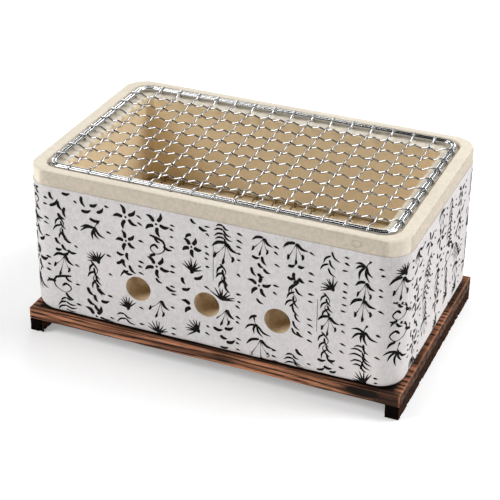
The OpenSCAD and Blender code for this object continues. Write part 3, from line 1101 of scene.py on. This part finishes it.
def print_marks(paper, sheet, vents):
    """Columns of marks round the whole sheet, each with small notes at its right."""
    rng = random.Random(paper.seed)
    ink = InkPrint(sheet, vents, 0.05 * MM)
    count = round(sheet.line.length / paper.column_pitch)
    pitch = sheet.line.length / count
    for column in range(count):
        s = (column + 0.42) * pitch + rng.uniform(-1.2, 1.2) * MM
        down = rng.uniform(7.0, 12.0) * MM
        stop = sheet.depth - rng.choice((3, 3, 4, 6, 12)) * MM
        weight = rng.uniform(1.7, 2.1) * MM
        while down < stop:
            size = paper.mark_size * rng.uniform(0.82, 1.08)
            ink.mark(s + rng.uniform(-0.8, 0.8) * MM, down, size, rng.choice(MARKS), rng, weight)
            for k in range(rng.choice((1, 1, 2, 2, 3))):
                x = s + 10.2 * MM + rng.uniform(-0.6, 0.6) * MM
                y = down + (k - 0.5) * 4.2 * MM + rng.uniform(-0.8, 0.8) * MM
                w = rng.uniform(1.3, 2.2) * MM
                tilt = rng.uniform(0.0, 1.3) * MM
                ink.stroke("dab", rng.uniform(1.3, 1.8) * MM,
                           [(x - w, y - tilt / 2), (x - w / 3, y - tilt / 5), (x + w / 3, y + tilt / 3), (x + w, y + tilt)])
            down += size * rng.uniform(0.88, 1.0)
        if rng.random() < 0.3:
            x = s + rng.choice((-1, 1)) * 6.6 * MM
            y = rng.uniform(10, 40) * MM
            long = rng.uniform(18, 38) * MM
            ink.stroke("line", 0.35 * MM, [(x + 0.1 * MM * math.sin(t * 2), y + long * t / 8) for t in range(9)])
    return ink


def build_ink(box, vents, paper):
    """The printed marks, as ribbons just proud of the paper."""
    ink = print_marks(paper, Sheet(box), vents)
    piece = new_piece("ink_marks", ink.points, ink.faces, [ink_material(paper)])
    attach(piece, "fire_box")


# ---------------------------------------------------------------- nets


def rod_ring(name, half_x, half_y, radius, z, rod, material, body):
    """A frame rod bent into a closed rounded rectangle; it stands for the CAD node of that name."""
    line = Outline(half_x, half_y, radius)
    count = round(line.length / (0.9 * MM))
    path = []
    for k in range(count):
        (x, y), _normal = line.at(line.length * k / count)
        path.append((x, y, z))
    piece = new_piece(name, *tube(path, rod / 2, 14, closed=True), [material])
    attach(piece, body)
    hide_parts(name.replace("wire_ring", "rod"))


def crimp_height(u, first, pitch, start):
    """Height of a crimped wire, from -1 to 1, with three half waves between crossings."""
    phase = 3 * math.pi * (u - first) / pitch
    bend = 0.98
    return start * math.asin(bend * math.cos(phase)) / math.asin(bend)


def wire_path(crossings, start, rod_in, rod_out, net, rng):
    """A wire's line as (along, sideways, height), hooked over the rods at both ends."""
    pitch = crossings[1] - crossings[0]
    wrap = net.rod / 2 + net.wire / 2 + 0.02 * MM
    level = rod_in - 1.3 * MM
    leave = crossings[-1] + pitch * 0.42
    phase, swing = rng.uniform(0, 6.28), rng.uniform(0.04, 0.13) * MM

    def height(u):
        wave = net.crimp * crimp_height(u, crossings[0], pitch, start)
        t = max(0.0, min(1.0, (abs(u) - leave) / (level - leave)))
        t = t * t * (3 - 2 * t)
        return wave * (1 - t) + wrap * t

    path = [(u, swing * math.sin(u / (17 * MM) + phase), height(u)) for u in span(-level, level, pitch / 20)]
    side_left, side_right = path[0][1], path[-1][1]
    hook = [(rod_in, wrap), ((rod_in + rod_out) / 2, wrap)]
    for k in range(9):
        a = math.pi / 2 - math.pi * k / 8
        hook.append((rod_out + wrap * math.cos(a), wrap * math.sin(a)))
    hook += [(rod_in, -wrap), (rod_in - rng.uniform(0.2, 1.4) * MM, -wrap)]
    right = [(u, side_right, h) for u, h in hook]
    left = [(-u, side_left, h) for u, h in reversed(hook)]
    return left + path + right


def build_woven(prefix, node_prefix, along, crossings, places, starts, rods, z, net, material, body, seed):
    """One family of wires. along is 0 for wires along X and 1 for wires along Y."""
    rng = random.Random(seed)
    for k, place in enumerate(places):
        path = wire_path(crossings, starts[k], rods[0], rods[1], net, rng)
        line = []
        for u, sideways, height in path:
            across = place + sideways
            line.append((u, across, z + height) if along == 0 else (across, u, z + height))
        piece = new_piece(f"{prefix}_{k + 1}", *tube(line, net.wire / 2, 8), [material])
        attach(piece, body)
        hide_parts(f"{node_prefix}{k + 1}")


# ---------------------------------------------------------------- base


def ring_height(x, y, z, pith, warp, wood):
    """Where a point lies between growth rings: 0 in soft wood, 1 on a hard line."""
    bend = warp * (noise.noise(Vector((x / 0.09, y / 0.05, 0.3))) + 0.4 * noise.noise(Vector((x / 0.03, y / 0.012, 7.1))))
    radius = math.hypot(y - pith[0], z - pith[1]) + bend
    t = radius / wood.ring % 1.0
    return max(0.0, min(1.0, (t if t < 0.78 else (1 - t) / 0.22 * 0.78) / 0.78)), int(radius // wood.ring)


def build_plank(name, low, high, steps, pith, wood, material, body, node, seed, ragged=0.0):
    """A plank with its grain along X, brushed into relief and charred."""
    xs = span(low.x, high.x, steps[0])
    ys = span(low.y, high.y, steps[1])
    zs = span(low.z, high.z, steps[2])
    points, normals, faces = grid_box(xs, ys, zs)
    ridge, char_and_shade, arris_highlight, moved = [], [], [], []
    for p, n in zip(points, normals):
        x, y, z = p
        hard, _number = ring_height(x, y + seed, z, pith, 2.2 * MM, wood)
        end = abs(n.x) > 0.9
        depth = wood.relief * (1 - hard) * (0.35 if end else 1.0)
        depth += 0.10 * MM * (0.5 + 0.5 * rough((x / 6, y, z), 1.5 * MM, seed))
        edges = sum(abs(c) > 0.3 for c in n)
        if edges > 1:
            depth += 0.35 * MM
        if ragged:
            bite = rough((x / 2, y / 2, z), 1.6 * MM, seed) + 0.5 * rough((x, y, z), 0.8 * MM, seed + 3)
            depth += ragged * max(0.0, bite) * (1.0 if z < low.z + 4 * MM else 0.4)
        q = Vector(p) - n * min(depth, 1.5 * MM)
        moved.append(q)
        # Painted highlight: a light line along the plank's arrises, except underneath, as if they caught the light.
        arris_highlight.append(0.0 if edges < 2 or n.z < -0.3 else 0.5 + 0.5 * rough((x / 3, y / 3, z), 3 * MM, seed + 9))
        ridge.append(hard)
        char_and_shade.append(char_and_shade_at(x, y, z, n, low, high, seed))
    piece = new_piece(name, moved, faces, [material])
    paint(piece, "ridge", ridge)
    paint(piece, "char_and_shade", char_and_shade)
    paint(piece, "arris_highlight", arris_highlight)
    paint(piece, "end", [1.0 if abs(n.x) > 0.5 else 0.0 for n in normals])
    sharpen(piece, 60)
    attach(piece, body)
    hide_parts(node)


def char_and_shade_at(x, y, z, n, low, high, seed):
    """How deeply the flame charred a place: stronger at corners, ends and in drifting patches; on the board's top, a
    black band just inside the tub's outline is painted contact shadow under the tub, not char.
    """
    patch = rough((x / 1.6, y / 1.2, z), 19 * MM, seed + 1.7)
    drift = 0.22 * max(0.0, x / high.x) ** 2 - 0.14 * max(0.0, -x / high.x)
    char_and_shade = max(0.0, min(1.0, (patch - 0.17 + drift) * 2.6)) * 0.9
    if abs(n.x) > 0.9:
        char_and_shade = max(char_and_shade, 0.90 + 0.3 * rough((x, y + z, z), 4 * MM, seed + 6))
    if n.z < -0.5:
        char_and_shade = max(char_and_shade, 0.9)
    # Painted contact shadow: the board's top turns black in a band just inside the tub's outline, under its rounded
    # sole.
    if n.z > 0.5:
        past_box = max(abs(x) - TUB_HIGH.x, abs(y) - TUB_HIGH.y)
        char_and_shade = max(char_and_shade, min(1.0, -0.8 - past_box / (1.6 * MM), 1.0 + (past_box + 9 * MM) / (6 * MM)))
    burnt_corner = math.hypot((x - high.x + 24 * MM) / (15 * MM), (y - low.y) / (6 * MM), (z - high.z + 3 * MM) / (4.5 * MM))
    return max(char_and_shade, min(1.0, 2.2 - 1.8 * burnt_corner))


def build_base(wood):
    """The board and the two battens under it."""
    board = wood_material("Burnt board", wood, 0.0)
    batten = wood_material("Charred batten", wood, 1.0)
    steps = (1.6 * MM, 0.8 * MM, 0.7 * MM)
    centre = (BOARD_LOW.z + BOARD_HIGH.z) / 2
    build_plank("board", BOARD_LOW, BOARD_HIGH, steps, (-26 * MM, centre - 64 * MM), wood, board,
                "base", "base_board", 0.0)
    for side, x in (("left", -1), ("right", 1)):
        low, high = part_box(f"{side}_batten")
        build_plank(f"{side}_foot", low, high, (0.5 * MM, 0.7 * MM, 0.5 * MM), (30 * MM * x, -40 * MM), wood, batten,
                    "base", f"{side}_batten", 0.3 * x, ragged=(2.0 - 0.6 * x) * MM)


# ---------------------------------------------------------------- stage


def build_world(stage):
    """Light from all round: bright near the horizon and dark overhead, as under a studio's flags."""
    world = bpy.data.worlds.new("Studio light")
    bpy.context.scene.world = world
    world.use_nodes = True
    shader = Shader(world.node_tree)
    background = world.node_tree.nodes["Background"]
    way = shader.node("ShaderNodeTexCoord").outputs["Generated"]
    parts = shader.node("ShaderNodeSeparateXYZ", {0: way}).outputs
    lift = shader.remap(parts[2], 0.28, 0.50)
    tone = shader.mix(lift, (1.0, 1.0, 1.0), (0.02, 0.02, 0.022))
    world.node_tree.links.new(tone, background.inputs["Color"])
    background.inputs["Strength"].default_value = stage.fill


def area_light(name, place, aim, size, power, colour=(1, 1, 1)):
    """A square soft light at a place, turned to its aim."""
    data = bpy.data.lights.new(name, "AREA")
    data.shape, data.size, data.energy, data.color = "SQUARE", size, power, colour
    light = bpy.data.objects.new(name, data)
    light.location = place
    light.rotation_euler = (Vector(aim) - Vector(place)).to_track_quat("-Z", "Y").to_euler()
    bpy.context.scene.collection.objects.link(light)
    return light


def build_camera(stage):
    """The camera, turned round the grill and looking down at it."""
    yaw, pitch, roll = stage.azimuth, stage.elevation, stage.roll
    back = Vector((math.sin(yaw) * math.cos(pitch), -math.cos(yaw) * math.cos(pitch), math.sin(pitch)))
    flat = Vector((math.cos(yaw), math.sin(yaw), 0.0))
    rise = back.cross(flat)
    right = flat * math.cos(roll) + rise * math.sin(roll)
    up = rise * math.cos(roll) - flat * math.sin(roll)
    data = bpy.data.cameras.new("Camera")
    data.lens, data.sensor_width = stage.lens, 36.0
    data.clip_start, data.clip_end = 0.05, 20.0
    camera = bpy.data.objects.new("Camera", data)
    place = Vector(stage.aim) + back * stage.distance
    camera.matrix_world = Matrix((right, up, back)).transposed().to_4x4()
    camera.location = place
    bpy.context.scene.collection.objects.link(camera)
    bpy.context.scene.camera = camera


def build_floor(stage):
    """A pale floor under the grill."""
    size = 3.0
    floor = new_piece("floor", [(-size, -size, 0), (size, -size, 0), (size, size, 0), (-size, size, 0)],
                      [(0, 1, 2, 3)], [])
    material, shader, principled, _place = new_material("Pale floor")
    finish(shader, principled, Base_Color=stage.floor_colour, Roughness=0.9, Specular_IOR_Level=0.1,
           Emission_Color=(1.0, 1.0, 1.0), Emission_Strength=stage.floor_glow)
    floor.data.materials.append(material)


# ---------------------------------------------------------------- operators


class GRILL_OT_fire_box(bpy.types.Operator):
    """Adds the diatomite fire box."""
    bl_idname = "grill.fire_box"
    bl_label = "Fire box"

    def execute(self, context):
        scene = context.scene
        build_tub(scene.grill_fire_box, scene.grill_vents, scene.grill_net)
        return {"FINISHED"}


class GRILL_OT_paper(bpy.types.Operator):
    """Adds the paper wrap and its printed marks."""
    bl_idname = "grill.paper"
    bl_label = "Paper wrap"

    def execute(self, context):
        scene = context.scene
        build_wrap(scene.grill_fire_box, scene.grill_vents, scene.grill_paper)
        build_ink(scene.grill_fire_box, scene.grill_vents, scene.grill_paper)
        return {"FINISHED"}


class GRILL_OT_cooking_net(bpy.types.Operator):
    """Adds the cooking net that lies in the rim."""
    bl_idname = "grill.cooking_net"
    bl_label = "Cooking net"

    def execute(self, context):
        net = context.scene.grill_net
        material = wire_material("Bright net wire", net.colour, 0.09)
        slot, body = "net_steel", "cooking_net"
        z = middle("net_outer_rod").z
        crosses, longs = wire_places("net_cross_wire_", 0), wire_places("net_long_wire_", 1)
        for name, high, offset in (("net_outer_rod", OUTER_ROD_HIGH, 0.5), ("net_inner_rod", INNER_ROD_HIGH, -0.5)):
            half_x, half_y = high.x - net.rod / 2, high.y - net.rod / 2
            rod_ring(name.replace("rod", "wire_ring"), half_x, half_y, net.corner_radius + offset * net.rod,
                     z, net.rod, material, body)
        rods = [(INNER_ROD_HIGH[a] - net.rod / 2, OUTER_ROD_HIGH[a] - net.rod / 2) for a in (0, 1)]
        build_woven("net_cross", "net_cross_wire_", 1, longs, crosses,
                    [(-1) ** a for a in range(len(crosses))], rods[1], z, net, material, body, 21)
        build_woven("net_long", "net_long_wire_", 0, crosses, longs,
                    [-(-1) ** b for b in range(len(longs))], rods[0], z, net, material, body, 22)
        return {"FINISHED"}


class GRILL_OT_charcoal_grate(bpy.types.Operator):
    """Adds the grate that carries the charcoal."""
    bl_idname = "grill.charcoal_grate"
    bl_label = "Charcoal grate"

    def execute(self, context):
        net = context.scene.grill_net
        # Painted reflection: the grate's colour is tinted olive-brown to stand for the tan cavity that it mirrors.
        material = wire_material("Heat-dulled grate wire", net.grate_reflection_colour, 0.3)
        slot, body = "grate_steel", "charcoal_grate"
        z = middle("grate_rod").z
        half_x, half_y = GRATE_ROD_HIGH.x - net.rod / 2, GRATE_ROD_HIGH.y - net.rod / 2
        rod_ring("grate_wire_ring", half_x, half_y, net.grate_corner_radius, z, net.rod, material, body)
        crosses, longs = wire_places("grate_cross_wire_", 0), wire_places("grate_long_wire_", 1)
        build_woven("grate_cross", "grate_cross_wire_", 1, longs, crosses,
                    [(-1) ** a for a in range(len(crosses))], (half_y, half_y), z, net, material, body, 23)
        build_woven("grate_long", "grate_long_wire_", 0, crosses, longs,
                    [-(-1) ** b for b in range(len(longs))], (half_x, half_x), z, net, material, body, 24)
        return {"FINISHED"}


class GRILL_OT_base(bpy.types.Operator):
    """Adds the burnt-wood base and its nails."""
    bl_idname = "grill.base"
    bl_label = "Base"

    def execute(self, context):
        build_base(context.scene.grill_wood)
        material, shader, principled, _place = new_material("Dull nail steel")
        finish(shader, principled, Base_Color=(0.22, 0.21, 0.20), Metallic=1.0, Roughness=0.45)
        nails = bpy.data.objects["batten_nails"]
        nails.data.materials.clear()
        nails.data.materials.append(material)
        return {"FINISHED"}


class GRILL_OT_stage(bpy.types.Operator):
    """Adds the floor, the lights and the camera."""
    bl_idname = "grill.stage"
    bl_label = "Stage"

    def execute(self, context):
        stage = context.scene.grill_stage
        build_floor(stage)
        build_world(stage)
        area_light("Key", (1.36, 0.5, 1.0), (0, 0, 0.06), 0.6, stage.key)
        area_light("Front", (-1.12, -0.85, 1.18), (0, 0, 0.06), 0.95, stage.front)
        area_light("Overhead", (0.85, 0.35, 1.7), (0, 0, 0.06), 0.7, stage.overhead)
        area_light("Back", (1.02, 0.83, 1.34), (0, 0, 0.06), 0.7, stage.back)
        area_light("Rear", (-0.62, 1.46, 0.9), (0, 0, 0.06), 0.45, stage.rear)
        build_camera(stage)
        context.scene.view_settings.view_transform = "Standard"
        return {"FINISHED"}


class GRILL_PT_panel(bpy.types.Panel):
    """Lists the grill's parts in the 3D view's sidebar."""
    bl_label = "Hibachi grill"
    bl_idname = "GRILL_PT_panel"
    bl_space_type = "VIEW_3D"
    bl_region_type = "UI"
    bl_category = "Grill"

    def draw(self, context):
        for operator in OPERATORS:
            self.layout.operator(operator.bl_idname)


SETTINGS = {"grill_fire_box": FireBoxSettings, "grill_vents": VentSettings, "grill_paper": PaperSettings,
            "grill_net": NetSettings, "grill_wood": WoodSettings, "grill_stage": StageSettings}
OPERATORS = (GRILL_OT_fire_box, GRILL_OT_paper, GRILL_OT_cooking_net, GRILL_OT_charcoal_grate, GRILL_OT_base,
             GRILL_OT_stage)


def register():
    for group in SETTINGS.values():
        bpy.utils.register_class(group)
    for name, group in SETTINGS.items():
        setattr(bpy.types.Scene, name, bpy.props.PointerProperty(type=group))
    for part in OPERATORS:
        bpy.utils.register_class(part)
    bpy.utils.register_class(GRILL_PT_panel)


def unregister():
    bpy.utils.unregister_class(GRILL_PT_panel)
    for part in reversed(OPERATORS):
        bpy.utils.unregister_class(part)
    for name in SETTINGS:
        delattr(bpy.types.Scene, name)
    for group in reversed(list(SETTINGS.values())):
        bpy.utils.unregister_class(group)


def main():
    """Builds every part of the grill and its stage."""
    register()
    bpy.ops.grill.fire_box()
    bpy.ops.grill.paper()
    bpy.ops.grill.cooking_net()
    bpy.ops.grill.charcoal_grate()
    bpy.ops.grill.base()
    bpy.ops.grill.stage()


if __name__ == "__main__":
    main()
